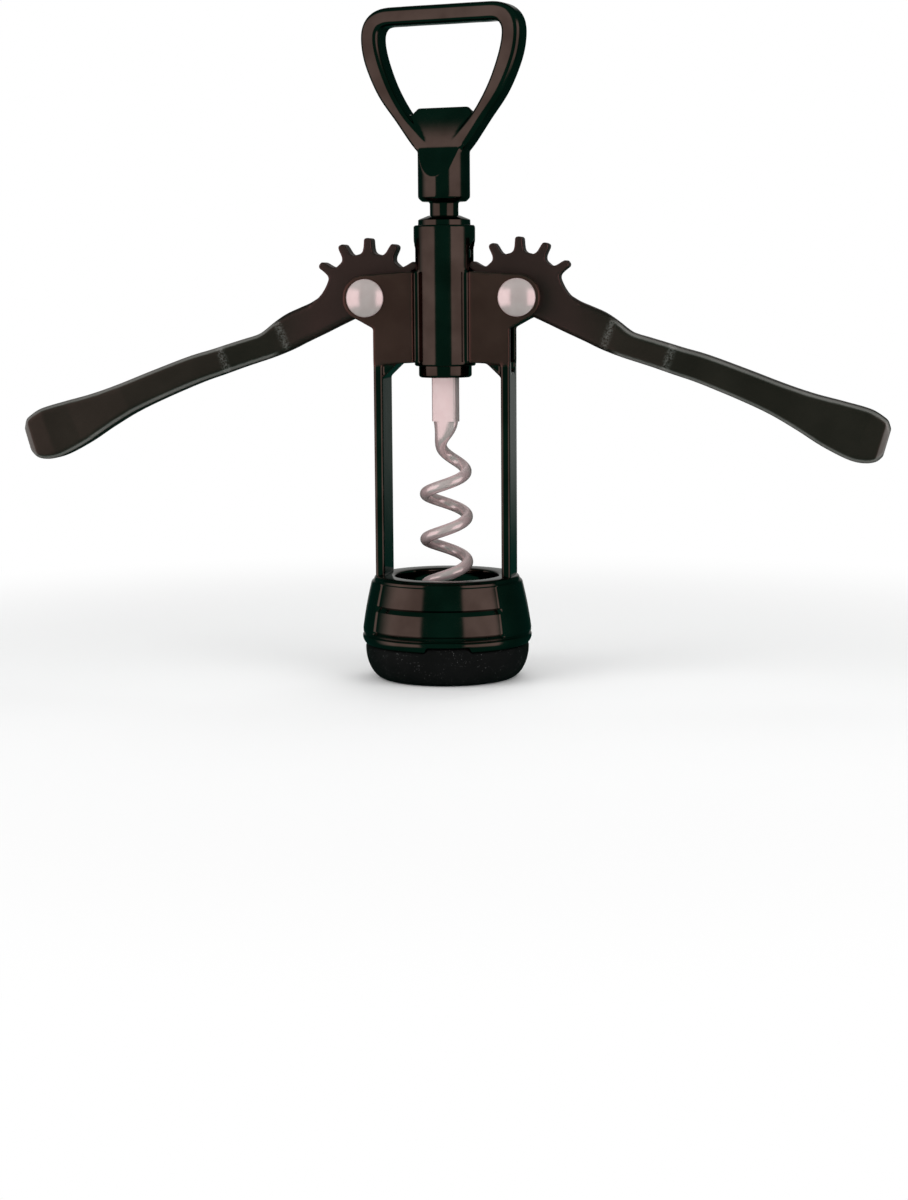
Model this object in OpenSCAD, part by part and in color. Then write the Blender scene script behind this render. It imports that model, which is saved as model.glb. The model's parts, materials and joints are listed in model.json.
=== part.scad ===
// Wing corkscrew: a cast frame with two geared levers, a ring rack on a turning handle, and a worm.
// Origin at the centre of the guide ring's lower rim, +Z up, front towards -Y, sizes in millimetres.

/* [Guide ring and bell] */
// Height of the plastic guide ring below the bell
guide_h = 8.8; // [8:0.1:12]
// Radius of the hole in the guide ring
guide_bore_r = 15; // [14:0.1:16]
// Radius of the guide ring's lower rim, outside
guide_rim_r = 16.6; // [16.2:0.1:18]
// Height of the metal bell
bell_h = 17.5; // [15:0.1:20]
// Outer radius of the bell at its foot
bell_foot_r = 21.8; // [21:0.1:24]
// Outer radius of the bell at its top
bell_top_r = 18.4; // [17.8:0.1:19.5]
// Wall of the bell
bell_wall = 1.9; // [1.4:0.1:2.4]
// Radius of the hole in the bell's top, for what the worm draws
lip_r = 13.3; // [12:0.1:14.2]
// Thickness of the bell's top, inside which the tool rests
lip_t = 2; // [1.5:0.1:3]
// Depth of the grooves between the bell's bands
groove_d = 0.5; // [0.2:0.05:0.8]
// Height of a groove
groove_h = 0.8; // [0.5:0.1:1.2]
// How far the plain side pads stand out from the bands
pad_t = 0.5; // [0.2:0.1:1]
// Half angle of a side pad in degrees
pad_half = 39; // [25:1:50]

/* [Posts and window] */
// Clear height of the window between the posts
window_h = 54; // [45:0.5:65]
// Half width of the window between the posts
window_half = 15; // [14:0.1:16]
// Thickness of a post across the window
post_t = 2.3; // [2:0.1:3.5]
// Depth of a post from front to rear
post_d = 13.4; // [12:0.1:15]
// Size of the braces in the window's upper corners
brace = 4.3; // [2:0.1:6]
// Depth of a brace from front to rear
brace_d = 11.6; // [4:0.1:12]
// Rounding of the posts' edges
post_edge = 0.9; // [0.3:0.1:1.1]

/* [Barrel and cheeks] */
// Outer radius of the barrel
barrel_r = 7.75; // [7.6:0.05:9]
// Height of the barrel
barrel_h = 34.6; // [32:0.1:40]
// Height of the cheek plates beside the barrel
cheek_h = 21.7; // [20:0.1:24]
// Thickness of a cheek plate
cheek_t = 2.2; // [1.6:0.1:3]
// Radius of the ears round the pivots
ear_r = 5.8; // [5.2:0.1:6.5]

/* [Gears and rack] */
// Module of the teeth
gear_m = 2; // [1.9:0.05:2.1]
// Teeth that a full gear circle would have
gear_z = 13; // [13:1:13]
// Teeth that a lever's sector has
sector_teeth = 8; // [7:1:8]
// Height of a gear tooth outside the pitch circle
gear_add = 2; // [1.5:0.05:2]
// Depth of a gear tooth inside the pitch circle
gear_ded = 1.9; // [1.8:0.05:2.4]
// Width of a gear tooth at the pitch circle
tooth_w = 2; // [1.8:0.05:2.2]
// Width of a gear tooth at its tip
tooth_tip_w = 1.6; // [1.2:0.05:1.7]
// Thickness of the gear sectors
gear_t = 6; // [4:0.1:6.4]
// Angle of the tooth nearest the rack, above the level line, in degrees
tooth_phase = 6.8; // [5:0.1:9]
// Height of a rack ring outside the pitch line
ring_add = 0.4; // [0.3:0.05:0.5]
// Rings on the rack
rings = 6; // [6:1:6]
// Flank angle of the rings in degrees
flank = 20; // [14:1:22]
// Radius of the rack's core between the rings
core_r = 3.6; // [3.4:0.05:4]
// Radius at which the teeth roll on the rings
pitch_line = 6.2; // [6.1:0.05:6.3]
// Plain foot of the rack below the middle of its lowest ring
rack_foot = 2.1; // [1.9:0.1:2.4]

/* [Pivots] */
// Height of the pivots above the cheeks' lower edge
pivot_up = 16.1; // [15.6:0.1:17]
// Radius of a pivot pin
pin_r = 2; // [1.5:0.1:2.5]
// Radius of the domed caps on the pins
cap_r = 4.75; // [4.2:0.05:5]
// Height of a domed cap
cap_h = 2; // [1.4:0.1:2.6]
// Radius of a lever's hub
hub_r = 5; // [4:0.1:5.4]

/* [Levers] */
// Reach of a lever from its pivot to its end, sideways
lever_reach = 91.5; // [80:0.5:100]
// Thickness of a lever's arm past its bend
arm_t = 8.8; // [7:0.1:10]
// Thickness of a lever's grip end
grip_t = 7.4; // [5:0.1:10]
// Rounding of a lever's long edges
lever_edge = 1.3; // [0.6:0.1:1.6]

/* [Handle] */
// Radius of the handle's boss
boss_r = 6.55; // [6.2:0.05:6.6]
// Height of the boss
boss_h = 12.2; // [11:0.1:14]
// Height of the handle above its boss
bow_h = 35; // [30:0.1:40]
// Width of the bow
bow_w = 43.8; // [38:0.1:48]
// Thickness of the bow from front to rear
bow_t = 6.4; // [4.5:0.1:7]
// Width of the bow's bar along its sides
bow_bar = 4.9; // [3:0.1:5.5]
// Height of the bow's bar along its top
bow_top_bar = 4.5; // [3.5:0.1:6]
// Height of the cap lifter's lip above the boss
lifter_h = 10; // [8:0.1:11]
// Width of the cap lifter's lip
lifter_w = 17.2; // [12:0.1:18]
// Thickness of the web that carries the lip
web_t = 5.6; // [4:0.1:6]
// Thickness of the web at its lip
lip_edge = 2.6; // [1.5:0.1:3]
// Height over which the web thins towards its lip
lip_slope = 4.2; // [2:0.1:6]
// Turn of the handle about the upright axis at rest, in degrees
handle_turn = -16; // [-90:1:90]
// Length of the neck between the rack and the boss
neck_h = 5.2; // [3.5:0.1:6]
// Radius of the rod inside the rack
rod_r = 2.5; // [2:0.05:2.6]

/* [Worm] */
// Radius of the worm's socket below the rack
socket_r = 6.7; // [6.3:0.05:6.75]
// Height of the worm's socket
socket_h = 3.6; // [3.2:0.1:5]
// Width of the worm's flat shank
shank_w = 6.6; // [5:0.1:7.5]
// Thickness of the worm's flat shank
shank_t = 2.9; // [2.2:0.1:3.4]
// Length of the shank that shows below its socket
shank_h = 10.8; // [8:0.1:14]
// Length of the worm below its shank
worm_h = 51.5; // [40:0.5:54]
// Radius of the worm's coil at the middle of the wire
coil_r = 5.3; // [4:0.1:5.6]
// Rise of the coil in one turn
coil_pitch = 11.6; // [9:0.1:14]
// Thickness of the worm's wire
wire_d = 2.9; // [2.2:0.1:3.4]
// Length over which the wire swings out to the coil
worm_lead = 15; // [8:0.5:20]
// Direction in which the wire leaves the axis, in degrees
worm_start = 196; // [0:1:359]

/* [Clearances] */
// Radial clearance of a pin or shaft that runs in its bore
running = 0.06; // [0.02:0.01:0.1]
// Radial clearance of a piece that is pressed home
press = 0.01; // [0:0.01:0.02]
// Side clearance between a lever's hub and the cheeks
side_gap = 0.1; // [0.05:0.01:0.2]
// Clearance round the gears where they pass through the barrel
slot_gap = 0.5; // [0.3:0.05:0.8]
// Play on each side of a tooth between two rings, at the pitch line
mesh_play = 0.88; // [0.8:0.02:1]

/* [Hidden] */
$fn = 96;
eps = 0.01;

// heights from the floor up
bell_top = guide_h + bell_h;
seat_z = bell_top - lip_t;
cheek_z = bell_top + window_h;
barrel_z = cheek_z - 1;
pivot_z = cheek_z + pivot_up;
// radii and places across
barrel_bore = socket_r + running;
ring_r = gear_m * gear_z / 2;
pivot_x = pitch_line + ring_r;
tip_r = ring_r + gear_add;
root_r = ring_r - gear_ded;
hub_step = 1.4;
cheek_in = gear_t / 2 + hub_step;
cheek_out = cheek_in + cheek_t;
post_out = window_half + post_t;
// the rack's rings and the gears share one pitch
tooth_pitch = PI * gear_m;
tooth_step = 360 / gear_z;
gap_angle = tooth_phase - tooth_step / 2;
mid_ring_z = pivot_z + ring_r * gap_angle * PI / 180;
top_ring_z = mid_ring_z + 3 * tooth_pitch;
ring_half = (tooth_pitch - tooth_w) / 2 - mesh_play;
ring_out = pitch_line + ring_add;
ring_tip_half = ring_half - ring_add * tan(flank);
ring_foot_half = ring_half + (pitch_line - core_r) * tan(flank);
rack_low = top_ring_z - (rings - 1) * tooth_pitch - rack_foot;
rack_high = top_ring_z + ring_foot_half;
// the handle and the worm hang from the rack
neck_z = rack_high + side_gap;
boss_z = neck_z + neck_h;
boss_top = boss_z + boss_h;
socket_z = rack_low - side_gap - socket_h;
shank_low = socket_z - shank_h;
shank_in = 2.6;
// how far the boss runs up into the web
boss_lap = 1.4;

brass_black = [0.30, 0.26, 0.25];
lever_black = [0.17, 0.17, 0.16];
nickel = [0.78, 0.74, 0.74];
plastic_black = [0.06, 0.06, 0.06];

function mix(a, b, t) = a + (b - a) * t;
function ease(t) = t * t * (3 - 2 * t);
// smooth curve through four points, between the second and the third
function spline4(p, t) = 0.5 * (2 * p[1] + (p[2] - p[0]) * t
    + (2 * p[0] - 5 * p[1] + 4 * p[2] - p[3]) * t * t
    + (3 * p[1] - p[0] - 3 * p[2] + p[3]) * t * t * t);
function knot(list, i) = list[max(0, min(len(list) - 1, i))];
function smooth(list, steps) = [
    for (i = [0 : len(list) - 2], k = [0 : steps - 1])
        spline4([knot(list, i - 1), list[i], list[i + 1], knot(list, i + 2)], k / steps),
    list[len(list) - 1]
];
// rounded rectangle, 2 a wide and 2 b high, as points round its centre
function round_box(a, b, r, n = 3) = [
    for (q = [0 : 3], k = [0 : n])
        let (w = 90 * (q + k / n), sx = (q == 0 || q == 3) ? 1 : -1, sy = q < 2 ? 1 : -1)
            [sx * (a - r) + r * cos(w), sy * (b - r) + r * sin(w)]
];

// closed skin over rings of points that have equal counts
module skin(rows) {
    n = len(rows[0]);
    m = len(rows);
    points = [for (row = rows) each row];
    sides = [for (j = [0 : m - 2], i = [0 : n - 1])
        let (a = j * n + i, b = j * n + (i + 1) % n)
            each [[a, b + n, b], [a, a + n, b + n]]];
    ends = [[for (i = [0 : n - 1]) i], [for (i = [n - 1 : -1 : 0]) (m - 1) * n + i]];
    polyhedron(points, concat(sides, ends));
}

// turns a flat outline drawn as sideways and up into a plate from y0 to y1
module plate(y0, y1) {
    translate([0, y1, 0])
        rotate([90, 0, 0])
            linear_extrude(y1 - y0)
                children();
}

module y_cylinder(r, y0, y1) {
    translate([0, y1, 0])
        rotate([90, 0, 0])
            cylinder(r = r, h = y1 - y0);
}

// ---- frame ----
module guide_ring() {
    spigot_r = bell_in - press;
    spigot_top = bell_step;
    lip = bell_foot_r - 0.9;
    curve_w = lip - guide_rim_r;
    curve_h = guide_h - 1.4;
    color(plastic_black)
        rotate_extrude()
            polygon([
                [guide_bore_r + 0.7, 0],
                for (a = [0 : 15 : 90])
                    [guide_rim_r + curve_w * sin(a), curve_h * (1 - cos(a)) + 0.5 * (1 - sin(a)) * sin(a)],
                [lip, guide_h],
                [spigot_r, guide_h],
                [spigot_r, spigot_top],
                [guide_bore_r + 0.8, spigot_top],
                [guide_bore_r + 0.5, guide_h + 0.5],
                [guide_bore_r, guide_h],
                [guide_bore_r, 0.7]
            ]);
}

// radius of the bell's bands at a share t of its height, a little fuller in the middle
function band_r(t) = mix(bell_foot_r - 0.35, bell_top_r, t) + 0.35 * sin(180 * t);
function bell_z(t) = guide_h + t * bell_h;
low_groove = 0.215;
mid_groove = 0.555;
bell_shoulder = bell_top - 0.7;
bell_step = bell_z(0.54);
bell_in = bell_foot_r - bell_wall - 0.9;

// section of the bell with its pads all the way round
module bell_section() {
    neck_in = bell_top_r - bell_wall;
    polygon([
        [bell_foot_r - 0.8, guide_h],
        [bell_foot_r, bell_z(0.12)],
        [bell_foot_r, bell_z(low_groove - 0.03)],
        for (t = [low_groove : 0.13 : 0.8])
            [band_r(t) + pad_t, bell_z(t)],
        [bell_top_r + pad_t * 0.4, bell_shoulder - 0.6],
        [bell_top_r, bell_shoulder],
        [bell_top_r - 0.3, bell_top - 0.25],
        [bell_top_r - 0.9, bell_top],
        [lip_r + 0.4, bell_top],
        [lip_r, bell_top - 0.4],
        [lip_r, seat_z],
        [guide_bore_r + 0.4, seat_z],
        [neck_in - 0.3, seat_z - 0.8],
        [neck_in + 0.6, bell_step],
        [bell_in, bell_step],
        [bell_in, guide_h]
    ]);
}

// what is cut away between two pads: it leaves the bands and their grooves
module band_relief() {
    far = bell_foot_r + 3;
    gh = groove_h / bell_h;
    function groove(t) = [
        [band_r(t) - groove_d, bell_z(t + 0.2 * gh)],
        [band_r(t) - groove_d, bell_z(t + 0.8 * gh)],
        [band_r(t + gh), bell_z(t + gh)]
    ];
    polygon([
        [far, bell_z(low_groove + 0.2 * gh)],
        each groove(low_groove),
        [band_r((low_groove + mid_groove) / 2), bell_z((low_groove + mid_groove) / 2)],
        [band_r(mid_groove), bell_z(mid_groove)],
        each groove(mid_groove),
        [band_r(0.86), bell_z(0.86)],
        [bell_top_r - 0.05, bell_shoulder - 0.1],
        [far, bell_shoulder - 0.1]
    ]);
}

module bell() {
    color(brass_black)
        difference() {
            rotate_extrude()
                bell_section();
            for (side = [90, 270])
                rotate([0, 0, side - 90 + pad_half])
                    rotate_extrude(angle = 180 - 2 * pad_half)
                        band_relief();
        }
}

// a post, drawn on the right; its top forks into the cheeks
module post() {
    color(brass_black)
        union() {
            translate([0, 0, bell_top])
                linear_extrude(window_h)
                    polygon([
                        for (p = round_box(post_t / 2, post_d / 2, post_edge, 4))
                            [window_half + post_t / 2 + p[0], p[1]]
                    ]);
            plate(-brace_d / 2, brace_d / 2)
                polygon([
                    [window_half - brace, cheek_z],
                    [window_half + eps, cheek_z - brace - eps],
                    [window_half + eps, cheek_z]
                ]);
        }
}

module post_right() post();

module post_left() mirror([1, 0, 0]) post();

module barrel() {
    slot_half = gear_t / 2 + slot_gap;
    slot_up = tip_r - 0.6;
    color(brass_black)
        difference() {
            translate([0, 0, barrel_z])
                cylinder(r = barrel_r, h = barrel_h);
            translate([0, 0, barrel_z - 1])
                cylinder(r = barrel_bore, h = barrel_h + 2);
            for (side = [-1, 1])
                hull()
                    for (dz = [-slot_up + slot_half, slot_up - slot_half])
                        translate([side * barrel_r, 0, pivot_z + dz])
                            rotate([0, 90, 0])
                                cylinder(r = slot_half, h = 7, center = true, $fn = 32);
        }
}

// flat outline of a cheek: plate, ear and the slope where the ear runs down into its post
module cheek_outline() {
    slope_z = pivot_z - ear_r - 1.8;
    slope_a = -70;
    polygon([
        [0, cheek_z],
        [post_out, cheek_z],
        [post_out, slope_z],
        [pivot_x + ear_r * cos(slope_a), pivot_z + ear_r * sin(slope_a)],
        [pivot_x + ear_r * cos(slope_a), pivot_z],
        [pivot_x, cheek_z + cheek_h],
        [0, cheek_z + cheek_h]
    ]);
    translate([pivot_x, pivot_z])
        circle(r = ear_r);
}

// a cheek plate, drawn at the front on the right
module cheek() {
    color(brass_black)
        difference() {
            plate(-cheek_out, -cheek_in)
                cheek_outline();
            translate([0, 0, barrel_z - 1])
                cylinder(r = barrel_r, h = barrel_h + 2);
            translate([pivot_x, 0, pivot_z])
                y_cylinder(pin_r + press, -cheek_out - 1, 0);
        }
}

module cheek_front_right() cheek();

module cheek_front_left() mirror([1, 0, 0]) cheek();

module cheek_rear_right() mirror([0, 1, 0]) cheek();

module cheek_rear_left() rotate([0, 0, 180]) cheek();

// ---- pivots ----
pin_end = cheek_out + cap_h * 0.5;

module pivot_pin(side) {
    color(nickel)
        translate([side * pivot_x, 0, pivot_z])
            y_cylinder(pin_r, -pin_end, pin_end);
}

module pivot_pin_left() pivot_pin(-1);

module pivot_pin_right() pivot_pin(1);

// a domed cap on a pin's end, drawn at the front
module cap(side) {
    rim = 0.5;
    dome = cap_h - rim;
    dome_r = (cap_r * cap_r + dome * dome) / (2 * dome);
    dome_a = asin(cap_r / dome_r);
    pin_in = pin_end - cheek_out + press;
    color(nickel)
        translate([side * pivot_x, -cheek_out, pivot_z])
            rotate([90, 0, 0])
                rotate_extrude()
                    polygon([
                        [pin_r + press, 0],
                        [cap_r, 0],
                        for (a = [dome_a : -dome_a / 8 : 0.01])
                            [dome_r * sin(a), cap_h - dome_r * (1 - cos(a))],
                        [0, cap_h],
                        [0, pin_in],
                        [pin_r + press, pin_in]
                    ]);
}

module cap_front_left() cap(-1);

module cap_front_right() cap(1);

module cap_rear_left() mirror([0, 1, 0]) cap(-1);

module cap_rear_right() mirror([0, 1, 0]) cap(1);

// ---- levers, drawn as the left one with its rack side towards +X ----
first_tooth = tooth_phase - 2 * tooth_step;

module gear_tooth() {
    polygon([
        [root_r - 0.6, -tooth_w * 0.75],
        [root_r + 0.7, -tooth_w * 0.56],
        [ring_r, -tooth_w / 2],
        [tip_r - 0.35, -tooth_tip_w / 2],
        [tip_r, -tooth_tip_w / 2 + 0.4],
        [tip_r, tooth_tip_w / 2 - 0.4],
        [tip_r - 0.35, tooth_tip_w / 2],
        [ring_r, tooth_w / 2],
        [root_r + 0.7, tooth_w * 0.56],
        [root_r - 0.6, tooth_w * 0.75]
    ]);
}

// the disc is whole where it has teeth, and below it is cut straight across, close to the hub
module sector_outline() {
    past_teeth = 14;
    polygon([
        for (a = [first_tooth - past_teeth : 4 : first_tooth + (sector_teeth - 1) * tooth_step + past_teeth])
            [root_r * cos(a), root_r * sin(a)]
    ]);
    for (i = [0 : sector_teeth - 1])
        rotate(first_tooth + i * tooth_step)
            gear_tooth();
}

// stations along the arm: sideways, up, half width, half thickness
u = lever_reach / 91.5;
arm_stations = [
    [4, 0.3, 5, gear_t / 2],
    [9, -2.2, 4.8, gear_t / 2],
    [13, -4.2, 4.45, gear_t / 2],
    [18, -6.7, 4.2, gear_t / 2],
    [23.5, -9.6, 3.9, mix(gear_t, arm_t, 0.32) / 2],
    [29, -12.1, 3.55, mix(gear_t, arm_t, 0.66) / 2],
    [35 * u, -14.3, 3.45, arm_t / 2],
    [46 * u, -18, 3.6, arm_t / 2],
    [56 * u, -21.9, 3.8, arm_t / 2],
    [64 * u, -25.3, 4.1, arm_t / 2],
    [71 * u, -28.5, 4.9, mix(arm_t, grip_t, 0.4) / 2],
    [78 * u, -31.6, 6.1, grip_t / 2],
    [85 * u, -34.3, 6.7, grip_t / 2],
    [89.6 * u, -35.7, 5.4, grip_t / 2 - 0.4],
    [91.2 * u, -36.1, 3.4, grip_t / 2 - 1.2]
];

module arm() {
    line = smooth(arm_stations, 3);
    last = len(line) - 1;
    skin([
        for (i = [0 : last])
            let (
                p = line[i],
                d = line[min(last, i + 1)] - line[max(0, i - 1)],
                n = [-d[1], -d[0]] / norm([d[0], d[1]]),
                r = min(lever_edge, p[3] - 0.3, p[2] - 0.3)
            )
                [for (q = round_box(p[2], p[3], r)) [-p[0] + q[0] * n[0], q[1], p[1] - q[0] * n[1]]]
    ]);
}

module lever() {
    color(lever_black)
        translate([-pivot_x, 0, pivot_z])
            difference() {
                union() {
                    plate(-gear_t / 2, gear_t / 2)
                        sector_outline();
                    y_cylinder(hub_r, -cheek_in + side_gap, cheek_in - side_gap);
                    arm();
                }
                y_cylinder(pin_r + running, -cheek_out, cheek_out);
            }
}

module lever_left() lever();

module lever_right() mirror([1, 0, 0]) lever();

// ---- rack, handle and worm ----
module rack_sleeve() {
    color(brass_black)
        difference() {
            intersection() {
                rotate_extrude()
                    polygon([
                        [0, rack_low - 2],
                        [core_r, rack_low - 2],
                        for (i = [rings - 1 : -1 : 0])
                            let (z = top_ring_z - i * tooth_pitch)
                                each [
                                    [core_r, z - ring_foot_half],
                                    [ring_out, z - ring_tip_half],
                                    [ring_out, z + ring_tip_half],
                                    [core_r, z + ring_foot_half]
                                ],
                        [0, rack_high]
                    ]);
                translate([0, 0, rack_low])
                    cylinder(r = ring_out + 1, h = rack_high - rack_low);
            }
            translate([0, 0, rack_low - 1])
                cylinder(r = rod_r + running, h = rack_high - rack_low + 2);
        }
}

rod_up = boss_z + boss_h / 2;
rod_low = socket_z + shank_in + 0.1;

module spindle_rod() {
    color(nickel)
        translate([0, 0, rod_low])
            cylinder(r = rod_r, h = rod_up - rod_low);
}

// half of the bow's middle line, from the boss up to the middle of the top bar
bow_half = bow_w / 2 - bow_bar / 2;
bow_mid_top = bow_h - bow_top_bar / 2;
bow_line = [
    [3.4, -0.6, bow_bar * 0.46],
    [6.4, 2.5, bow_bar * 0.44],
    [bow_half * 0.555, 7.8, bow_bar * 0.37],
    [bow_half * 0.785, 14.4, bow_bar * 0.45],
    [bow_half * 0.945, 21.6, bow_bar / 2],
    [bow_half, 27, bow_bar / 2],
    [bow_half - 0.7, bow_mid_top - 2.2, bow_bar / 2],
    [bow_half - 3.4, bow_mid_top - 0.25, bow_top_bar / 2],
    [bow_half - 9, bow_mid_top, bow_top_bar / 2],
    [0, bow_mid_top, bow_top_bar / 2]
];

module bow() {
    half = smooth(bow_line, 3);
    last = len(half) - 1;
    whole = concat(half, [for (i = [last - 1 : -1 : 0]) [-half[i][0], half[i][1], half[i][2]]]);
    end = len(whole) - 1;
    skin([
        for (i = [0 : end])
            let (
                p = whole[i],
                d = whole[min(end, i + 1)] - whole[max(0, i - 1)],
                n = [d[1], -d[0]] / norm([d[0], d[1]])
            )
                [for (q = round_box(p[2], bow_t / 2, 1.5)) [p[0] + q[0] * n[0], q[1], p[1] + q[0] * n[1]]]
    ]);
}

// a point on the lip's slope: share 0 at the lip's top, 1 where the slope meets the web's face
function on_slope(share) = [
    mix(lip_edge, web_t, share) / 2,
    lifter_h - share * lip_slope
];

// the web between the bow's legs, flush with them below and thinned in front and behind at its lip
module lifter_web() {
    cut = 1.9;
    half = lifter_w / 2;
    upper = on_slope(-0.1);
    lower = on_slope(1.2);
    intersection() {
        plate(-web_t / 2, web_t / 2)
            polygon([
                [-boss_r + 0.6, -1.5],
                [boss_r - 0.6, -1.5],
                [boss_r + 1, 1.5],
                [half + 0.8, lifter_h - cut - 1],
                [half, lifter_h - cut],
                [half - cut, lifter_h],
                [-half + cut, lifter_h],
                [-half, lifter_h - cut],
                [-half - 0.8, lifter_h - cut - 1],
                [-boss_r - 1, 1.5]
            ]);
        rotate([90, 0, 90])
            linear_extrude(2 * lifter_w, center = true)
                polygon([
                    [lower[0], -2],
                    lower,
                    upper,
                    [-upper[0], upper[1]],
                    [-lower[0], lower[1]],
                    [-lower[0], -2]
                ]);
    }
}

// the boss is cut away in front and behind by a slanting plane that runs up into the web
module boss() {
    cut_low = boss_h * 0.41;
    difference() {
        union() {
            cylinder(r = boss_r, h = boss_h + boss_lap);
            translate([0, 0, -1])
                cylinder(r1 = boss_r - 1, r2 = boss_r, h = 1 + eps);
        }
        for (side = [-1, 1])
            plate_cut(side, cut_low);
    }
}

module plate_cut(side, low) {
    rotate([0, 0, side > 0 ? 0 : 180])
        rotate([90, 0, 90])
            linear_extrude(4 * boss_r, center = true)
                polygon([
                    [boss_r, low],
                    [web_t / 2 + 0.1, boss_h + boss_lap + eps],
                    [2 * boss_r, boss_h + 2],
                    [2 * boss_r, low]
                ]);
}

module handle() {
    color(brass_black)
        rotate([0, 0, handle_turn])
            difference() {
                union() {
                    translate([0, 0, boss_top])
                        bow();
                    translate([0, 0, boss_top])
                        lifter_web();
                    translate([0, 0, boss_z])
                        boss();
                    translate([0, 0, neck_z])
                        cylinder(r = core_r, h = boss_z - neck_z + eps);
                }
                translate([0, 0, neck_z - 1])
                    cylinder(r = rod_r + press, h = rod_up - neck_z + 1 + press);
            }
}

module worm_socket() {
    color(brass_black)
        rotate([0, 0, handle_turn])
            difference() {
                union() {
                    translate([0, 0, socket_z + 0.5])
                        cylinder(r = socket_r, h = socket_h - 0.5);
                    translate([0, 0, socket_z])
                        cylinder(r1 = socket_r - 0.5, r2 = socket_r, h = 0.5);
                }
                translate([0, 0, rod_low - 0.05])
                    cylinder(r = rod_r + press, h = socket_h);
                translate([-shank_w / 2 - press, -shank_t / 2 - press, socket_z - 1])
                    cube([shank_w + 2 * press, shank_t + 2 * press, shank_in + 1.02]);
            }
}

// the worm leaves its flat shank, swings out to the coil's radius and ends in a fine point
worm_turns = (worm_h - worm_lead * 0.5) / coil_pitch;

function worm_drop(t) = t * worm_h;
function worm_out(t) = coil_r * ease(min(1, worm_drop(t) / worm_lead))
    * (1 - 0.25 * pow(max(0, (t - 0.9) / 0.1), 2));
function worm_angle(t) = worm_start
    - 360 * worm_turns * (worm_drop(t) < worm_lead
        ? 0.5 * pow(worm_drop(t), 2) / worm_lead / (worm_h - worm_lead / 2)
        : (worm_drop(t) - worm_lead / 2) / (worm_h - worm_lead / 2));
function worm_at(t) = [
    worm_out(t) * cos(worm_angle(t)),
    worm_out(t) * sin(worm_angle(t)),
    shank_low - worm_drop(t)
];
function worm_wire(t) = wire_d / 2 * (t < 0.82 ? 1 : mix(1, 0.12, pow((t - 0.82) / 0.18, 1.3)));

module worm() {
    steps = 92;
    sides = 10;
    rows = [
        for (i = [0 : steps])
            let (
                t = i / steps,
                p = worm_at(t),
                d = worm_at(min(1, t + 0.004)) - worm_at(max(0, t - 0.004)),
                f = d / norm(d),
                side = cross([0, 1, 0], f) / norm(cross([0, 1, 0], f)),
                up = cross(f, side),
                blend = ease(min(1, worm_drop(t) / 7)),
                a = mix(shank_w / 2, worm_wire(t), blend),
                b = mix(shank_t / 2, worm_wire(t), blend)
            )
                [for (k = [0 : sides - 1])
                    let (w = 360 * (k + 0.5) / sides)
                        p + side * a * cos(w) + up * b * sin(w)]
    ];
    color(nickel)
        rotate([0, 0, handle_turn])
            union() {
                translate([-shank_w / 2, -shank_t / 2, shank_low - 0.3])
                    cube([shank_w, shank_t, socket_z + shank_in - shank_low + 0.3]);
                skin(rows);
            }
}

guide_ring();
bell();
post_left();
post_right();
barrel();
cheek_front_left();
cheek_front_right();
cheek_rear_left();
cheek_rear_right();
pivot_pin_left();
pivot_pin_right();
cap_front_left();
cap_front_right();
cap_rear_left();
cap_rear_right();
lever_left();
lever_right();
rack_sleeve();
handle();
spindle_rod();
worm_socket();
worm();
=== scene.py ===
# %% [markdown]
# A wing corkscrew, dressed over its CAD frame.
#
# The frame already holds every part at its real size and place, so nothing here is fitted by eye.
# This lesson replaces the plain machined-looking solids with the softer forms of the real tool: a
# zinc casting has small radii everywhere, in its inner corners as well as on its edges, and polished
# metal shows each of them. The finishes follow, then the light, because polished metal is mostly a
# picture of what stands round it. Lengths are in millimetres unless a comment says otherwise.

import math

import bpy
import numpy as np
from mathutils import Matrix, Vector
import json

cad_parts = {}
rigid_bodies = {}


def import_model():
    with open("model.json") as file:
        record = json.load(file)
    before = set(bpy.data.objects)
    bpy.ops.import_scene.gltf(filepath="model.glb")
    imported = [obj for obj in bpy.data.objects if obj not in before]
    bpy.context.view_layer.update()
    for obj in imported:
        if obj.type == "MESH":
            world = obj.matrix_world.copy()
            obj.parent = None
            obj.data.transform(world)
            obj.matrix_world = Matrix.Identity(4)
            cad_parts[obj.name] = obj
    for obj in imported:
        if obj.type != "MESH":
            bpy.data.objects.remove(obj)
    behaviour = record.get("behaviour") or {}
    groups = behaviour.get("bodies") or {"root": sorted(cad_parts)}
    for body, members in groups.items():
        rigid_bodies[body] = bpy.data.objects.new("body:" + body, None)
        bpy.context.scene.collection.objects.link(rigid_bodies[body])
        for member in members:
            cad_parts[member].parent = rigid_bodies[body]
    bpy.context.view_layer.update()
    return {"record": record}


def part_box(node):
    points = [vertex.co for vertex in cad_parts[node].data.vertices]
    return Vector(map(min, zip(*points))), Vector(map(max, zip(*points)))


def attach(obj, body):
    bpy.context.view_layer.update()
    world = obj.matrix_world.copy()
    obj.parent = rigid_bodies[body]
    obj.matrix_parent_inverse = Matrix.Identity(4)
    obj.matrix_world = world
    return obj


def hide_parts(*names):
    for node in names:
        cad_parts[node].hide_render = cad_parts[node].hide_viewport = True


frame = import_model()
MM = 0.001  # the script works in millimetres and the scene is in metres


def box_mm(node):
    """Lowest and highest corner of a CAD node, in millimetres."""
    low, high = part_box(node)
    return np.array(low) / MM, np.array(high) / MM


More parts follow.
